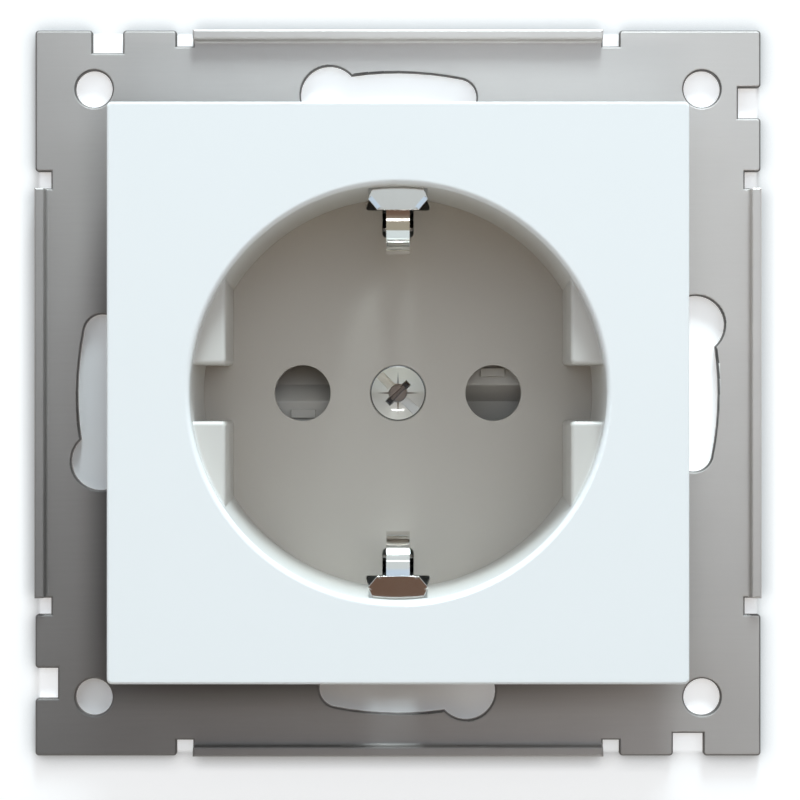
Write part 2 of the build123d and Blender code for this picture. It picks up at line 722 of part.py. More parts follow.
# Earth bridge: one strip from clip to clip, with hooked heads, a threaded middle and a tab for the clamp
with BuildPart() as earth_bridge:
    with BuildSketch(Plane.YZ):
        with BuildLine():
            FilletPolyline(
                (clip_head_level, clip_head_reach),
                (clip_head_level, clip_corner_reach),
                (leg_knee, leg_reach),
                (bridge_level, leg_reach),
                (bridge_level, -leg_reach),
                (leg_knee, -leg_reach),
                (clip_head_level, -clip_corner_reach),
                (clip_head_level, -clip_head_reach),
                radius=(clip_curl_radius, clip_bend, clip_bend, clip_bend, clip_bend, clip_curl_radius),
            )
        trace(line_width=bridge_sheet)
    extrude(amount=bridge_half_width, both=True)
    with BuildSketch(Plane.XY.offset(-plate_width / 2)):
        with BuildLine():
            Polyline(
                (-strap_width / 2, -plate_front),
                (strap_width / 2, -plate_front),
                (strap_width / 2, leg_knee),
                (strap_bar_width / 2, leg_knee + strap_flare),
                (strap_bar_width / 2, bar_front),
                (bridge_half_width, bar_front),
                (bridge_half_width, base_rear),
                (-bridge_half_width, base_rear),
                (-bridge_half_width, bar_front),
                (-strap_bar_width / 2, bar_front),
                (-strap_bar_width / 2, leg_knee + strap_flare),
                (-strap_width / 2, leg_knee),
                close=True,
            )
        make_face()
    extrude(amount=plate_width, mode=Mode.INTERSECT)
    with BuildSketch(Plane.XZ.offset(-clip_head_front - bridge_sheet)):
        with BuildLine():
            Polyline(
                (-clip_end_width / 2, clip_tip_reach),
                (clip_end_width / 2, clip_tip_reach),
                (clip_head_width / 2, clip_head_reach),
                (clip_end_width / 2, clip_low_reach),
                (-clip_end_width / 2, clip_low_reach),
                (-clip_head_width / 2, clip_head_reach),
                close=True,
            )
        make_face()
    head = extrude(amount=bridge_sheet, mode=Mode.PRIVATE)
    lip_foot = Vector(clip_end_width / 2, clip_head_front, clip_low_reach)
    lip_run = Vector(clip_head_width / 2, clip_head_front, clip_head_reach) - lip_foot
    with BuildSketch(Plane(origin=lip_foot, x_dir=lip_run.rotate(Axis.Y, -90), z_dir=lip_run)):
        with BuildLine():
            Polyline((0, 0), (clip_lip_width, 0), (0, clip_lip_height), close=True)
        make_face()
    lip = extrude(amount=lip_run.length, mode=Mode.PRIVATE)
    add([head, lip, lip.mirror(Plane.YZ)])
    mirror([head, lip, lip.mirror(Plane.YZ)], about=Plane.XY)
    with BuildSketch(Plane.XZ.offset(-base_rear)):
        Rectangle(2 * plate_width, 2 * plate_width)
        Rectangle(strap_bar_width, 2 * plate_width, mode=Mode.SUBTRACT)
        with Locations((0, (bridge_wide_top + bridge_wide_bottom) / 2)):
            Rectangle(2 * plate_width, bridge_wide_top - bridge_wide_bottom, mode=Mode.SUBTRACT)
    extrude(amount=base_rear - deck_depth, mode=Mode.SUBTRACT)
    with BuildSketch(Plane.XZ.offset(-base_rear)):
        Circle(centre_shank_radius + thread_gap)
        with Locations((0, (tab_window_top + wire_bottom) / 2)):
            Rectangle(2 * tab_half_width + 2 * tab_window_gap, tab_window_top - wire_bottom)
    extrude(amount=base_rear - deck_depth, mode=Mode.SUBTRACT)
    with BuildSketch(Plane.XZ.offset(-bar_front)):
        with Locations((0, wire_bottom - bridge_sheet / 2)):
            Rectangle(2 * tab_half_width, bridge_sheet)
    extrude(amount=bar_front - tail_rear)
earth_bridge.part.label = "earth_bridge"
export_step(earth_bridge.part, "parts/earth_bridge.step")

# Earth clamp: folded cage around the bridge's tab, with the screw through its lower wall
with BuildPart() as earth_clamp:
    with BuildSketch(Plane.XZ.offset(-clamp_rear)):
        with Locations((0, (clamp_top + clamp_bottom) / 2)):
            RectangleRounded(clamp_width, clamp_top - clamp_bottom, clamp_corner_radius)
        with Locations((0, (wire_top + clamp_inner_bottom) / 2)):
            Rectangle(clamp_width - 2 * clamp_wall, wire_top - clamp_inner_bottom, mode=Mode.SUBTRACT)
    extrude(amount=clamp_rear - clamp_front)
    with BuildSketch(Plane.XY.offset(clamp_bottom)):
        with Locations((0, terminal_level)):
            Circle(terminal_shank_radius + thread_gap)
    extrude(amount=clamp_screw_wall, mode=Mode.SUBTRACT)
earth_clamp.part.label = "earth_clamp"
export_step(earth_clamp.part, "parts/earth_clamp.step")

# Line clamp
with BuildPart() as line_clamp:
    with Locations((-pin_reach, 0, 0)):
        add(earth_clamp.part)
line_clamp.part.label = "line_clamp"
export_step(line_clamp.part, "parts/line_clamp.step")

# Neutral clamp
with BuildPart() as neutral_clamp:
    with Locations((pin_reach, 0, 0)):
        add(earth_clamp.part)
neutral_clamp.part.label = "neutral_clamp"
export_step(neutral_clamp.part, "parts/neutral_clamp.step")

# Earth screw: slotted terminal screw, driven from below
with BuildPart() as earth_screw:
    with BuildSketch(Plane.XY.offset(terminal_head_bottom)):
        with Locations((0, terminal_level)):
            Circle(terminal_head_radius)
    extrude(amount=terminal_head_top - terminal_head_bottom)
    with BuildSketch(Plane.XY.offset(terminal_head_top)):
        with Locations((0, terminal_level)):
            Circle(terminal_shank_radius)
    extrude(amount=terminal_screw_tip - terminal_head_top)
    chamfer(earth_screw.faces().sort_by(Axis.Z)[-1].edges(), terminal_tip_bevel)
    fillet(earth_screw.faces().sort_by(Axis.Z)[0].edges(), terminal_head_edge)
    with BuildSketch(Plane.XY.offset(terminal_head_bottom)):
        with Locations((0, terminal_level)):
            Rectangle(3 * terminal_head_radius, terminal_slot_width)
    extrude(amount=terminal_slot_depth, mode=Mode.SUBTRACT)
earth_screw.part.label = "earth_screw"
export_step(earth_screw.part, "parts/earth_screw.step")

# Line screw
with BuildPart() as line_screw:
    with Locations((-pin_reach, 0, 0)):
        add(earth_screw.part)
line_screw.part.label = "line_screw"
export_step(line_screw.part, "parts/line_screw.step")

# Neutral screw
with BuildPart() as neutral_screw:
    with Locations((pin_reach, 0, 0)):
        add(earth_screw.part)
neutral_screw.part.label = "neutral_screw"
export_step(neutral_screw.part, "parts/neutral_screw.step")

# Right claw: bent steel lever with a slotted tab, a leg along the base and a toothed hook
with BuildPart() as right_claw:
    claw_mid = claw_sheet / 2
    with BuildSketch(Plane.XY):
        with BuildLine():
            FilletPolyline(
                (claw_screw_x + claw_tab_reach, claw_front + claw_mid),
                (claw_leg_x + claw_mid, claw_front + claw_mid),
                (claw_leg_x + claw_mid, claw_leg_rear - claw_mid),
                (claw_leg_x + claw_hook_length, claw_leg_rear - claw_mid),
                radius=claw_mid + claw_bend_radius,
            )
        trace(line_width=claw_sheet)
    extrude(amount=claw_half_width, both=True)
    with BuildSketch(Plane.XZ.offset(-claw_front)):
        with Locations((claw_screw_x, 0)):
            SlotOverall(claw_slot_length, claw_slot_width)
    extrude(amount=-claw_sheet, mode=Mode.SUBTRACT)
    with BuildSketch(Plane.XZ.offset(-claw_leg_rear)):
        hook_end = claw_leg_x + claw_hook_length
        with Locations((hook_end, -claw_half_width / 2), (hook_end, claw_half_width / 2)):
            RegularPolygon(claw_tooth_depth, 4)
    extrude(amount=claw_sheet, mode=Mode.SUBTRACT)
right_claw.part.label = "right_claw"
export_step(right_claw.part, "parts/right_claw.step")

# Left claw: the right claw's mirror image
with BuildPart() as left_claw:
    mirror(right_claw.part, about=Plane.YZ)
left_claw.part.label = "left_claw"
export_step(left_claw.part, "parts/left_claw.step")

# Right claw screw: slotted pan head before the frame, shank through the claw's slot
with BuildPart() as right_claw_screw:
    with BuildSketch(Plane.XZ.offset(frame_sheet)):
        with Locations((claw_screw_x, 0)):
            Circle(claw_head_radius)
    extrude(amount=claw_head_height)
    fillet(right_claw_screw.faces().sort_by(Axis.Y)[0].edges(), claw_head_edge)
    with BuildSketch(Plane.XZ.offset(frame_sheet)):
        with Locations((claw_screw_x, 0)):
            Circle(claw_shank_radius)
    extrude(amount=-(frame_sheet + claw_screw_tip))
    chamfer(right_claw_screw.faces().sort_by(Axis.Y)[-1].edges(), claw_tip_bevel)
    with BuildSketch(Plane.XZ.offset(frame_sheet + claw_head_height)):
        with Locations((claw_screw_x, 0)):
            Rectangle(claw_drive_width, 3 * claw_head_radius)
    extrude(amount=-claw_drive_depth, mode=Mode.SUBTRACT)
right_claw_screw.part.label = "right_claw_screw"
export_step(right_claw_screw.part, "parts/right_claw_screw.step")

# Left claw screw
with BuildPart() as left_claw_screw:
    with Locations((-2 * claw_screw_x, 0, 0)):
        add(right_claw_screw.part)
left_claw_screw.part.label = "left_claw_screw"
export_step(left_claw_screw.part, "parts/left_claw_screw.step")
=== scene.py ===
# %% [markdown]
# Finishes of a flush wall socket
#
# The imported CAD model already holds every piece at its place, so this lesson is about light and finish.
# It loads the model, sets up a small photo studio and gives each piece a procedural material.
# Everything is in metres: +X is right, +Z is up, and the room is on the -Y side of the wall at Y = 0.

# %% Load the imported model
import math

import bpy
import numpy as np
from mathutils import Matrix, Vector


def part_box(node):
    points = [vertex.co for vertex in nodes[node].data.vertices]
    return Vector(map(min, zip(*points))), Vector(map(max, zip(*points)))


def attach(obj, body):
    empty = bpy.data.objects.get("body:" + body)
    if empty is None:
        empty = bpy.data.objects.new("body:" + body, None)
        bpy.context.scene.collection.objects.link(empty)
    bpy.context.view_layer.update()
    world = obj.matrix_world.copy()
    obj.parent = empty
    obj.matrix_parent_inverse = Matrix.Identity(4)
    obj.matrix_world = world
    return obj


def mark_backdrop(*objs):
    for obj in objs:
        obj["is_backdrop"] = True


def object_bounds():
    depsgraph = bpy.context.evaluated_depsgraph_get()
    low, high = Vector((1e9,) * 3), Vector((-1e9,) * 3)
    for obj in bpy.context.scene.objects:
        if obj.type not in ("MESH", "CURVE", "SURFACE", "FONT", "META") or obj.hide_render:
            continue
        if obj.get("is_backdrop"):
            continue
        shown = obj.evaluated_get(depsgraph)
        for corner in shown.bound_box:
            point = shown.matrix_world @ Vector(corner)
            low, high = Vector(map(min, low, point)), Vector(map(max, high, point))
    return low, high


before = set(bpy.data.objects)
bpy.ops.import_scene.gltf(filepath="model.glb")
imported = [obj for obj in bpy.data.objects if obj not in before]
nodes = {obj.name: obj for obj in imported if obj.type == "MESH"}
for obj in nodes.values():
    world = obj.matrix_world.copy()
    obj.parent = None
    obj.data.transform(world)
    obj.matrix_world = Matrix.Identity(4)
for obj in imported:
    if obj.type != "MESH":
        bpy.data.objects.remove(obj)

cad_low, cad_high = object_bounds()
scene = bpy.context.scene
scene.view_settings.view_transform = "Standard"
print("loaded", len(nodes), "pieces, box", [round(v * 1000, 1) for v in (*cad_low, *cad_high)])

# %% [markdown]
# A socket as a Python value
#
# Shader maths is a chain of small nodes, and wiring them one by one hides the formula.
# A class that wraps one socket and overloads the operators lets a finish be written as an expression.
# Every other kind of node comes from one method, which sets the node's settings before its sockets.

# %% Wrap a socket


class Wire:
    """One socket of a node tree. Arithmetic adds Math nodes, and node() adds a node of any other kind."""

    def __init__(self, tree, socket=None):
        self.tree, self.socket = tree, socket

    def node(self, kind, settings=None, sockets=None, out=0):
        """Adds a node: its settings first, then a value or a link for each socket, by name or number."""
        made = self.tree.nodes.new("ShaderNode" + kind)
        for name, value in (settings or {}).items():
            setattr(made, name, value)
        for name, value in (sockets or {}).items():
            if isinstance(value, Wire):
                self.tree.links.new(value.socket, made.inputs[name])
            else:
                made.inputs[name].default_value = value
        return Wire(self.tree, made.outputs[out] if len(made.outputs) else None)

    def math(self, operation, *values):
        """Adds a Math node: its operation on these values."""
        return self.node("Math", {"operation": operation}, dict(enumerate(values)))

    def __add__(self, other):
        return self.math("ADD", self, other)

    def __sub__(self, other):
        return self.math("SUBTRACT", self, other)

    def __rsub__(self, other):
        return self.math("SUBTRACT", other, self)

    def __mul__(self, other):
        return self.math("MULTIPLY", self, other)

    def __pow__(self, other):
        return self.math("POWER", self, other)

    def __rpow__(self, other):
        return self.math("POWER", other, self)

    __radd__, __rmul__ = __add__, __mul__

    def axis(self, letter):
        """One coordinate of a place."""
        return self.node("SeparateXYZ", {}, {0: self}, letter)

    def size(self):
        """The value without its sign."""
        return self.math("ABSOLUTE", self)

    def step(self, low, high):
        """A smooth step: 0 on low's side, 1 on high's side. With low above high it falls."""
        settings = {"interpolation_type": "SMOOTHSTEP"}
        return self.node("MapRange", settings, {0: self, 1: low, 2: high, 3: 0.0, 4: 1.0})

    def between(self, low, high):
        """A colour between two colours, by this value."""
        return self.node("Mix", {"data_type": "RGBA"}, {0: self, 6: low, 7: high}, 2)


def shade(red, green, blue):
    """A colour given as it looks on a screen, 0 to 255, turned into linear light."""
    screen = np.array([red, green, blue]) / 255
    linear = np.where(screen < 0.04045, screen / 12.92, ((screen + 0.055) / 1.055) ** 2.4)
    return (*linear.tolist(), 1.0)


print("a mid grey of 128 is", round(shade(128, 128, 128)[0], 3), "in linear light")

# %% [markdown]
# The camera
#
# The picture looks straight at the middle of the recess, so the recess walls show evenly all round.
# How much wall shows gives the distance, about 31 cm from the face, and the face's width gives the lens.
# The socket sits a little high and left in the picture: that is a shift of the frame, not a turn.

# %% Place the camera
camera = bpy.data.objects.new("camera", bpy.data.cameras.new("camera"))
scene.collection.objects.link(camera)
camera_distance = 0.3246
camera.location = (0.0, -camera_distance, 0.0)
camera.rotation_euler = (math.radians(90), 0.0, 0.0)
camera.data.sensor_width = 36.0
camera.data.lens = 148.8
camera.data.shift_x = 0.0025
camera.data.shift_y = -0.00875
camera.data.clip_start, camera.data.clip_end = 0.01, 20.0
scene.camera = camera
print("camera", round(camera_distance * 1000), "mm before the wall")

# %% [markdown]
# The studio
#
# A socket is fixed to a wall, so the pale surface behind it is a wall that takes its soft shadow.
# To come out white, the open wall also glows for the camera and in reflections. Ambient occlusion dims that
# glow close to the sheet, as a contact shadow. Behind the sheet there is less of it, least to the lower left,
# where the holes show a shaded wall. The sheet's own back mirrors the wall from close up, so mirrors see an
# even glow there. The wall is one-sided: from behind it is clear. A pale floor lies well below the picture.

# %% Build the wall and the floor


def grid_mesh(name, points, loops=False):
    """A mesh from a grid of points, rows by columns. With loops, the last column joins the first."""
    rows, columns = points.shape[:2]
    index = np.arange(rows * columns).reshape(rows, columns)
    right = np.roll(index, -1, 1) if loops else index[:, 1:]
    left = index if loops else index[:, :-1]
    faces = np.stack([left[:-1], right[:-1], right[1:], left[1:]], -1).reshape(-1, 4)
    mesh = bpy.data.meshes.new(name)
    mesh.from_pydata(points.reshape(-1, 3).tolist(), [], faces.tolist())
    made = bpy.data.objects.new(name, mesh)
    scene.collection.objects.link(made)
    return made


def new_finish(name):
    """An empty material, and a wire into its node tree."""
    material = bpy.data.materials.new(name)
    material.use_nodes = True
    material.node_tree.nodes.clear()
    return material, Wire(material.node_tree)


def wall_round_box(hole, reach, level):
    """A ring of wall: radius from hole to reach, angle right round, at Y = level, facing the room."""
    radius, angle = np.meshgrid([hole, reach], np.linspace(2 * np.pi, 0, 97)[:-1], indexing="ij")
    return np.stack([radius * np.cos(angle), np.full_like(radius, level), radius * np.sin(angle)], -1)


def level_floor(reach, level):
    """A square of floor: X and Y from -reach to reach, at Z = level, facing up."""
    along, across = np.meshgrid([-reach, reach], [-reach, reach])
    return np.stack([along, across, np.full_like(along, level)], -1)


black, pure_white = (0.0, 0.0, 0.0, 1.0), (1.0, 1.0, 1.0, 1.0)
sheet_half = cad_high[0]
box_radius, wall_reach, wall_gap = 0.0226, 0.6, 0.00012
floor_reach, floor_height = 0.45, -0.7
wall = grid_mesh("wall", wall_round_box(box_radius, wall_reach, wall_gap), loops=True)
floor = grid_mesh("floor", level_floor(floor_reach, floor_height))
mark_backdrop(wall, floor)

wall_paint, wire = new_finish("wall_paint")
place = wire.node("TexCoord", {}, {}, "Object")
across = place.axis("X")
upward = place.axis("Z")
outward = wire.math("MAXIMUM", across.size(), upward.size())
inward = wire.math("MINIMUM", across.size(), upward.size())
open_wall = outward.step(sheet_half - 0.0005, sheet_half - 0.0001)
in_notch = outward.step(sheet_half - 0.0035, sheet_half - 0.0029)
in_corner = inward.step(0.026, 0.027)
wall_color = open_wall.between((0.9, 0.9, 0.9, 1.0), (0.45, 0.45, 0.45, 1.0))
paint = wire.node("BsdfDiffuse", {}, {"Color": wall_color})
direct = wire.node("LightPath", {}, {}, "Is Camera Ray")
mirrored = wire.node("LightPath", {}, {}, "Is Glossy Ray")
through = wire.node("LightPath", {}, {}, "Is Transmission Ray")
seen = wire.math("MINIMUM", direct + mirrored + through, 1.0)
nearby = wire.node("AmbientOcclusion", {"samples": 8}, {"Distance": 0.0019}, "AO")
# Behind the sheet the glow is painted light and shade: more in the notches, the corner holes and to the upper
# right, least to the lower left, as the face's painted shadow.
lit = wire.math("MAXIMUM", (across + upward).step(-0.03, -0.005), in_notch)
shaded_glow, corner_glow, lit_glow, open_glow = 0.03, 0.07, 0.35, 0.62
through_holes = shaded_glow + in_corner * corner_glow + lit * lit_glow
hidden = direct * through_holes + (seen - direct) * lit_glow
glow = hidden + open_wall * (seen * open_glow * nearby ** 1.8 - hidden)
lift = wire.node("Emission", {}, {"Color": glow.between(black, pure_white), "Strength": 1.0})
front = wire.node("AddShader", {}, {0: paint, 1: lift})
behind = wire.node("NewGeometry", {}, {}, "Backfacing")
clear = wire.node("BsdfTransparent")
one_sided = wire.node("MixShader", {}, {0: behind, 1: front, 2: clear})
wire.node("OutputMaterial", {}, {"Surface": one_sided})
wall.data.materials.append(wall_paint)

floor_paint, wire = new_finish("floor_paint")
pale = wire.node("BsdfDiffuse", {}, {"Color": (0.75, 0.75, 0.74, 1.0)})
wire.node("OutputMaterial", {}, {"Surface": pale})
floor.data.materials.append(floor_paint)
print("stage:", [o.name for o in (wall, floor)])

# %% [markdown]
# The light
#
# The lower recess wall is bright and bluish, the upper one dull and warm, and the face's shadow falls low.
# So a cool lamp stands high in front, a little to the right, and a weak one near the camera fills the recess.
# Two strips are seen only as reflections: the low one draws a streak on the screw, the high one a glint.
# The room is pale above eye level, with a blue band, and brown below it, because the bright clips mirror it.
# Lamps and room together light the face at a plain level, at which a colour renders about as it is written.

# %% Set the lamps and the room


def soft_lamp(name, place, target, width, height, power, tint, lights=True, mirrored=True):
    """An area lamp aimed at a target, which may light matt surfaces, show in bright ones, or both."""
    lamp = bpy.data.objects.new(name, bpy.data.lights.new(name, "AREA"))
    scene.collection.objects.link(lamp)
    lamp.location = place
    aim = np.array(target) - np.array(place)
    yaw = math.atan2(aim[0], aim[1])
    pitch = math.atan2(aim[2], math.hypot(aim[0], aim[1]))
    lamp.rotation_euler = (math.pi / 2 + pitch, 0.0, -yaw)
    lamp.data.shape = "RECTANGLE"
    lamp.data.size, lamp.data.size_y = width, height
    lamp.data.energy = power
    lamp.data.color = tint
    lamp.visible_diffuse, lamp.visible_glossy = lights, mirrored


middle = (0.0, 0.0, 0.0)
soft_lamp("key", (0.13, -0.41, 1.12), middle, 0.3, 0.3, 18.0, (0.80, 0.945, 1.0))
soft_lamp("front", (0.25, -1.1, 0.3), middle, 0.7, 0.7, 1.1, (1.0, 1.0, 1.0), mirrored=False)
soft_lamp("rear", (-0.4, 0.7, 0.5), middle, 0.6, 0.6, 6.0, (1.0, 0.98, 0.95))
soft_lamp("low_strip", (0.0, -0.5, -0.27), middle, 0.20, 0.03, 0.26, (1.0, 1.0, 1.0), lights=False)
soft_lamp("high_strip", (0.0, -0.42, 0.38), middle, 0.4, 0.02, 0.075, (0.85, 0.93, 1.0), lights=False)

room = bpy.data.worlds.new("room")
scene.world = room
room.use_nodes = True
room.node_tree.nodes.clear()
wire = Wire(room.node_tree)
height = wire.node("TexCoord", {}, {}, "Generated").axis("Z")
ground = height.step(-0.2, -0.7).between((0.17, 0.108, 0.08, 1.0), (0.42, 0.39, 0.32, 1.0))
blue_band = height.step(0.08, 0.2) * height.step(0.45, 0.3)
sky = blue_band.between((0.74, 0.81, 0.85, 1.0), (0.66, 0.81, 1.0, 1.0))
air = height.step(-0.03, 0.08).between(ground, sky)
wire.node("OutputWorld", {}, {"Surface": wire.node("Background", {}, {"Color": air, "Strength": 1.0})})

# %% [markdown]
# Helpers for the finishes
#
# Each finish reads the piece's own Object coordinates, so a pattern keeps its size and stays on the piece.
# Punched and moulded edges are never quite sharp. The Bevel node rounds the shading of an edge by up to about
# a tenth of a millimetre without touching the mesh, and a Bump node adds the fine surface on top of it.

# %% Define what every finish uses


def noise(wire, place, scale, detail=2.0, stretch=None):
    """Value noise with about scale features in a metre; stretch squeezes it along an axis for grain."""
    if stretch:
        place = wire.node("Mapping", {}, {"Vector": place, "Scale": stretch})
    return wire.node("TexNoise", {}, {"Vector": place, "Scale": scale, "Detail": detail})


def rounded(wire, radius, height, strength, depth=0.00005):
    """A normal with its edges rounded by radius, and with the height field's fine relief on it."""
    edge = wire.node("Bevel", {"samples": 6}, {"Radius": radius})
    return wire.node("Bump", {}, {"Height": height, "Normal": edge, "Strength": strength, "Distance": depth})


def close_finish(wire, color, roughness, normal, metallic=0.0, **constants):
    """Joins colour, roughness and normal to a Principled shader, whose other sockets are constants."""
    sockets = {"Base Color": color, "Roughness": roughness, "Normal": normal, "Metallic": metallic}
    sockets.update({name.replace("_", " "): value for name, value in constants.items()})
    surface = wire.node("BsdfPrincipled", {}, sockets)
    wire.node("OutputMaterial", {}, {"Surface": surface})


def dress(material, *names):
    """Puts a finish on CAD pieces, in the slots that they already have."""
    for name in names:
        for slot in nodes[name].material_slots:
            slot.material = material
    print(material.name, "on", ", ".join(names))


# %% [markdown]
# White moulding
#
# The face and the recess are one moulding in white plastic. The mould's face is polished, and the recess is
# left with the fine grain of spark erosion, so it is duller. The recess, most of all its floor, is also
# painted
# darker and warmer than the face: painted shade of the deep recess, tinted by the warm light that fills it.
# Faint clouds in the colour come from the flow of the plastic. All of it is noise on Object coordinates,
# with one mask that tells the recess from the face, and one that tells the floor from the wall by its depth.

# %% Finish the centre plate
plate_white, wire = new_finish("plate_white")
place = wire.node("TexCoord", {}, {}, "Object")
across = place.axis("X")
depth = place.axis("Y")
upward = place.axis("Z")
from_axis = (across * across + upward * upward) ** 0.5
face_front, mouth_radius, floor_level = cad_low[1], 0.0197, 0.0049
within = from_axis.step(mouth_radius + 0.0002, mouth_radius - 0.0003)
recess = within * depth.step(face_front + 0.0003, face_front + 0.0008)
clouds = noise(wire, place, 55.0, 3.0)
grain = noise(wire, place, 5200.0, 2.0)
white = clouds.between((0.875, 0.878, 0.87, 1.0), (0.895, 0.893, 0.885, 1.0))
# Painted shade: the recess wall, and its floor still more, are painted a darker, warmer white than the face.
on_floor = depth.step(floor_level - 0.0005, floor_level - 0.0002)
inner = on_floor.between((0.65, 0.622, 0.58, 1.0), (0.612, 0.565, 0.505, 1.0))
white = recess.between(white, inner)
gloss = 0.30 + clouds * 0.05 + recess * 0.04
relief = grain * (0.15 + recess * 0.5)
close_finish(wire, white, gloss, rounded(wire, 0.00012, relief, 0.12), IOR=1.5)
dress(plate_white, "centre_plate")

# %% [markdown]
# Zinc-plated sheet
#
# The support frame is punched from zinc-plated steel: a dull grey metal with a faint rolling grain, which is
# noise stretched along X. Light and shade are painted on its front: light at the upper right, shade at the
# lower left, and a painted shadow of the face beside its lower and left edges. Metal hardly takes a shadow,
# so this painted light and shade is a ramp along X + Z, with a soft band round the face. The punched edges,
# told by their depth in the sheet, are painted darker, as painted shade that also dims the lamp's glint on
# them;
# a cut edge is bare steel too.

# %% Finish the support frame
frame_zinc, wire = new_finish("frame_zinc")
place = wire.node("TexCoord", {}, {}, "Object")
clouds = noise(wire, place, 140.0, 3.0)
rolling = noise(wire, place, 3000.0, 2.0, (0.06, 1.0, 1.0))
speckle = noise(wire, place, 7000.0, 2.0)
across = place.axis("X")
upward = place.axis("Z")
slant = across + upward
beside = wire.math("MAXIMUM", across.size(), upward.size())
depth = place.axis("Y")
sheet_front, face_half = -0.001, 0.0275
front_side = depth.step(sheet_front * 0.4, sheet_front * 0.8)
# The punched edges get painted shade, which also dims the lamp's glint on them.
off_front = depth.step(sheet_front * 0.99, sheet_front * 0.96)
cut_edge = off_front * depth.step(sheet_front * 0.1, sheet_front * 0.2)
# Painted shadow of the face on the sheet's front, beside the face's lower and left edges.
shaded = slant.step(0.012, -0.03) * beside.step(face_half + 0.0043, face_half - 0.0005) * front_side
# Painted light and shade: the front runs from light at the upper right to dark at the lower left.
painted_light_ramp = wire.node("MapRange", {}, {0: slant, 1: -0.072, 2: 0.04, 3: 0.32, 4: 1.0})
back_level, edge_shade_level, shade_share = 0.8, 0.30, 0.68
brightness = back_level + front_side * (painted_light_ramp * (1.0 - shade_share * shaded) - back_level)
brightness = brightness + cut_edge * (edge_shade_level - brightness) + (clouds - 0.5) * 0.06
zinc = brightness.between(black, (0.70, 0.655, 0.625, 1.0))
dull = 0.58 + clouds * 0.06 + rolling * 0.06
close_finish(wire, zinc, dull, rounded(wire, 0.00004, rolling + speckle * 0.6, 0.10), 1.0)
dress(frame_zinc, "support_frame")

# %% [markdown]
# Bright nickel
#
# The earth clips are plated so bright that they mirror the room: the upper head shows the pale part just
# above eye level, the lower head the brown part just below it, and the curl of the strip the lit recess.
# Plug after plug leaves fine lines along the strip, which are noise stretched along it.

# %% Finish the earth bridge
clip_nickel, wire = new_finish("clip_nickel")
place = wire.node("TexCoord", {}, {}, "Object")
drawn = noise(wire, place, 9000.0, 2.0, (1.0, 0.03, 0.03))
haze = noise(wire, place, 400.0, 3.0)
nickel = haze.between((0.74, 0.72, 0.68, 1.0), (0.80, 0.785, 0.75, 1.0))
polish = 0.04 + haze * 0.04 + drawn * 0.04
close_finish(wire, nickel, polish, rounded(wire, 0.00008, drawn, 0.05), 1.0)
dress(clip_nickel, "earth_bridge")

# %% [markdown]
# The centre screw
#
# Its domed head is nickel too, turned on a lathe, with four fine needle marks between the arms of the recess.
# A needle is where the distance to an axis is less than a width that tapers with the radius. The pit and the
# deep arms are told by their depth; they and the rim are painted dark, as painted shade in the hollows and in
# the gap round the head. The head is painted warmer above than below, as a painted reflection.
# A clear coat keeps a lamp's reflection crisp on it.

# %% Finish the centre screw
screw_nickel, wire = new_finish("screw_nickel")
place = wire.node("TexCoord", {}, {}, "Object")
across = place.axis("X")
depth = place.axis("Y")
upward = place.axis("Z")
from_axis = (across * across + upward * upward) ** 0.5
off_axis = wire.math("MINIMUM", across.size(), upward.size())
taper = (0.0021 - from_axis) * 0.09
needle = (off_axis - taper).step(0.00002, -0.00002) * from_axis.step(0.0008, 0.001)
rings = {"W": from_axis * 9000.0, "Scale": 1.0, "Detail": 2.0}
turning = wire.node("TexNoise", {"noise_dimensions": "1D"}, rings)
pit = depth.step(0.0050, 0.0053)
arm = depth.step(0.0055, 0.0058) * from_axis.step(0.00085, 0.00095)
rim = from_axis.step(0.00262, 0.00268) * depth.step(0.0046, 0.0048)
# Painted reflection: the head is painted warmer above than below.
nickel = upward.step(-0.0012, 0.0012).between((0.74, 0.74, 0.71, 1.0), (0.72, 0.68, 0.57, 1.0))
nickel = needle.between(nickel, (0.25, 0.22, 0.18, 1.0))
# Painted shade: the pit, the deep arms and the rim round the head are painted dark.
nickel = pit.between(nickel, (0.34, 0.28, 0.24, 1.0))
nickel = arm.between(nickel, (0.08, 0.08, 0.075, 1.0))
nickel = rim.between(nickel, (0.06, 0.07, 0.07, 1.0))
polish = 0.50 + turning * 0.10 + pit * 0.1
normal = rounded(wire, 0.00006, turning * 0.5 - needle, 0.15)
close_finish(wire, nickel, polish, normal, 1.0, Coat_Weight=0.8, Coat_Roughness=0.06, Coat_IOR=2.0)
dress(screw_nickel, "centre_screw")

# %% [markdown]
# Moulded inner pieces
#
# Behind the floor the pieces are engineering plastics: a pale, smooth shutter that shows in the pin holes,
# and a grey, slightly mottled base and cover, which show from behind and dimly through the clip windows.

# %% Finish the shutter, the cover and the base


def matt_plastic(name, dark, light, rough, grain_size, relief):
    """Matt moulded plastic: cloudy colour between two tones, and spark-eroded grain."""
    material, wire = new_finish(name)
    place = wire.node("TexCoord", {}, {}, "Object")
    clouds = noise(wire, place, 120.0, 3.0)
    grain = noise(wire, place, grain_size, 2.0)
    tone = clouds.between(dark, light)
    close_finish(wire, tone, rough + grain * 0.1, rounded(wire, 0.00012, grain, relief), IOR=1.5)
    return material


shutter_grey = matt_plastic("shutter_grey", shade(198, 194, 186), shade(206, 202, 194), 0.20, 6000.0, 0.05)
cover_grey = matt_plastic("cover_grey", shade(168, 167, 163), shade(178, 177, 173), 0.42, 5000.0, 0.12)
base_grey = matt_plastic("base_grey", shade(140, 141, 142), shade(150, 151, 152), 0.45, 4200.0, 0.25)
dress(shutter_grey, "shutter")
dress(cover_grey, "contact_cover")
dress(base_grey, "base_housing")

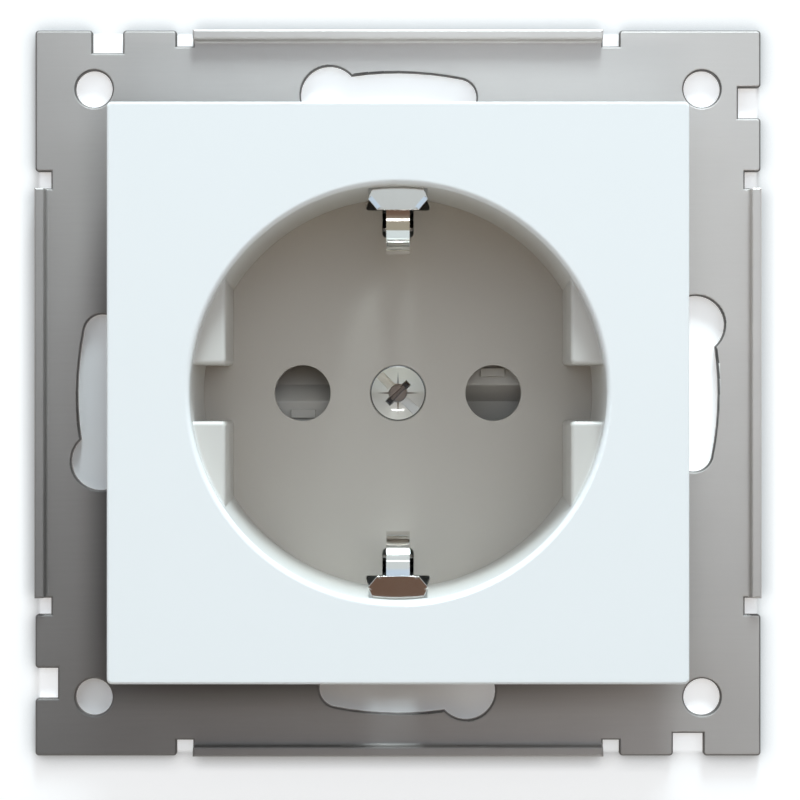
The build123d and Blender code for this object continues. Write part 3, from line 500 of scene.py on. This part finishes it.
# %% [markdown]
# Small metal parts
#
# Rivets, claws, clamps and screws are plated steel of different brightness, and the contacts are brass.
# One function makes them all: a metal with clouds in its plating, grain along one axis, and rounded edges.

# %% Finish the small metal parts


def plated(name, dark, light, rough, along, relief=0.08):
    """Plated metal: clouds between two tones, and noise stretched so that its grain runs along one axis."""
    material, wire = new_finish(name)
    place = wire.node("TexCoord", {}, {}, "Object")
    clouds = noise(wire, place, 500.0, 3.0)
    drawn = noise(wire, place, 6000.0, 2.0, along)
    tone = clouds.between(dark, light)
    sheen = rough + clouds * 0.08 + drawn * 0.08
    close_finish(wire, tone, sheen, rounded(wire, 0.00010, drawn + clouds * 0.3, relief), 1.0)
    return material


zinc_tones = (0.50, 0.51, 0.53, 1.0), (0.60, 0.61, 0.62, 1.0)
brass_tones = (0.62, 0.42, 0.16, 1.0), (0.72, 0.51, 0.22, 1.0)
nickel_tones = (0.56, 0.55, 0.52, 1.0), (0.64, 0.63, 0.60, 1.0)
steel_tones = (0.40, 0.40, 0.41, 1.0), (0.50, 0.50, 0.51, 1.0)
even_grain = (1.0, 1.0, 1.0)

rivet_zinc = plated("rivet_zinc", *zinc_tones, 0.30, even_grain)
dress(rivet_zinc, "frame_rivets")
claw_zinc = plated("claw_zinc", *zinc_tones, 0.34, (1.0, 0.05, 1.0))
dress(claw_zinc, "left_claw", "right_claw")
claw_screw_zinc = plated("claw_screw_zinc", *zinc_tones, 0.26, (1.0, 1.0, 0.1))
dress(claw_screw_zinc, "left_claw_screw", "right_claw_screw")
clamp_nickel = plated("clamp_nickel", *nickel_tones, 0.28, (0.05, 1.0, 1.0))
dress(clamp_nickel, "line_clamp", "neutral_clamp", "earth_clamp")
terminal_zinc = plated("terminal_zinc", *zinc_tones, 0.28, (1.0, 1.0, 0.1))
dress(terminal_zinc, "line_screw", "neutral_screw", "earth_screw")
contact_brass = plated("contact_brass", *brass_tones, 0.26, (1.0, 1.0, 0.05))
dress(contact_brass, "line_contact", "neutral_contact")
spring_steel = plated("spring_steel", *steel_tones, 0.22, even_grain)
dress(spring_steel, "shutter_spring")

# %% [markdown]
# Threads of the claw screws
#
# The claws are spread by turning two long screws, so their shanks carry a fine thread.
# The CAD shank is a plain cylinder, and the thread is a ridge that winds round it: a small profile swept
# along a helix, which fades out over half a turn at both ends, as a rolled thread does.

# %% Wind the threads


def thread_ridge(axis, start, end, core, crest, pitch):
    """Angle t from 0 to all turns, with a flat-crested profile across the ridge: radius
    core + (crest - core) * height, and Y = start + pitch * (t / turn + across).
    The height fades to nothing over the first and the last half turn."""
    turns = (end - start) / pitch - 1
    angle = np.linspace(0, 2 * np.pi * turns, int(40 * turns) + 1)[:, None]
    across, height = np.array([0.1, 0.4, 0.6, 0.9]), np.array([0.0, 1.0, 1.0, 0.0])
    fade = np.clip(np.minimum(angle, angle[-1] - angle) / np.pi, 0, 1)
    radius = core + (crest - core) * height * fade
    level = start + pitch * (angle / (2 * np.pi) + across)
    return np.stack([axis + radius * np.cos(angle), level, radius * np.sin(angle)], -1)


shank_radius, ridge_height, ridge_foot, pitch = 0.0014, 0.0001, 0.00002, 0.0005
thread_start, tip_length = 0.0012, 0.0004
for side in ("left", "right"):
    low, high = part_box(side + "_claw_screw")
    axis = (low[0] + high[0]) / 2
    core, crest = shank_radius - ridge_foot, shank_radius + ridge_height
    points = thread_ridge(axis, thread_start, high[1] - tip_length, core, crest, pitch)
    ridge = grid_mesh(side + "_claw_thread", points)
    ridge.data.materials.append(claw_screw_zinc)
    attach(ridge, "socket")
    print(ridge.name, "has", len(ridge.data.polygons), "faces")

# %% [markdown]
# Close the scene
#
# The box of the finished model, threads included, is measured again.

# %% Measure the finished model
low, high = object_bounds()
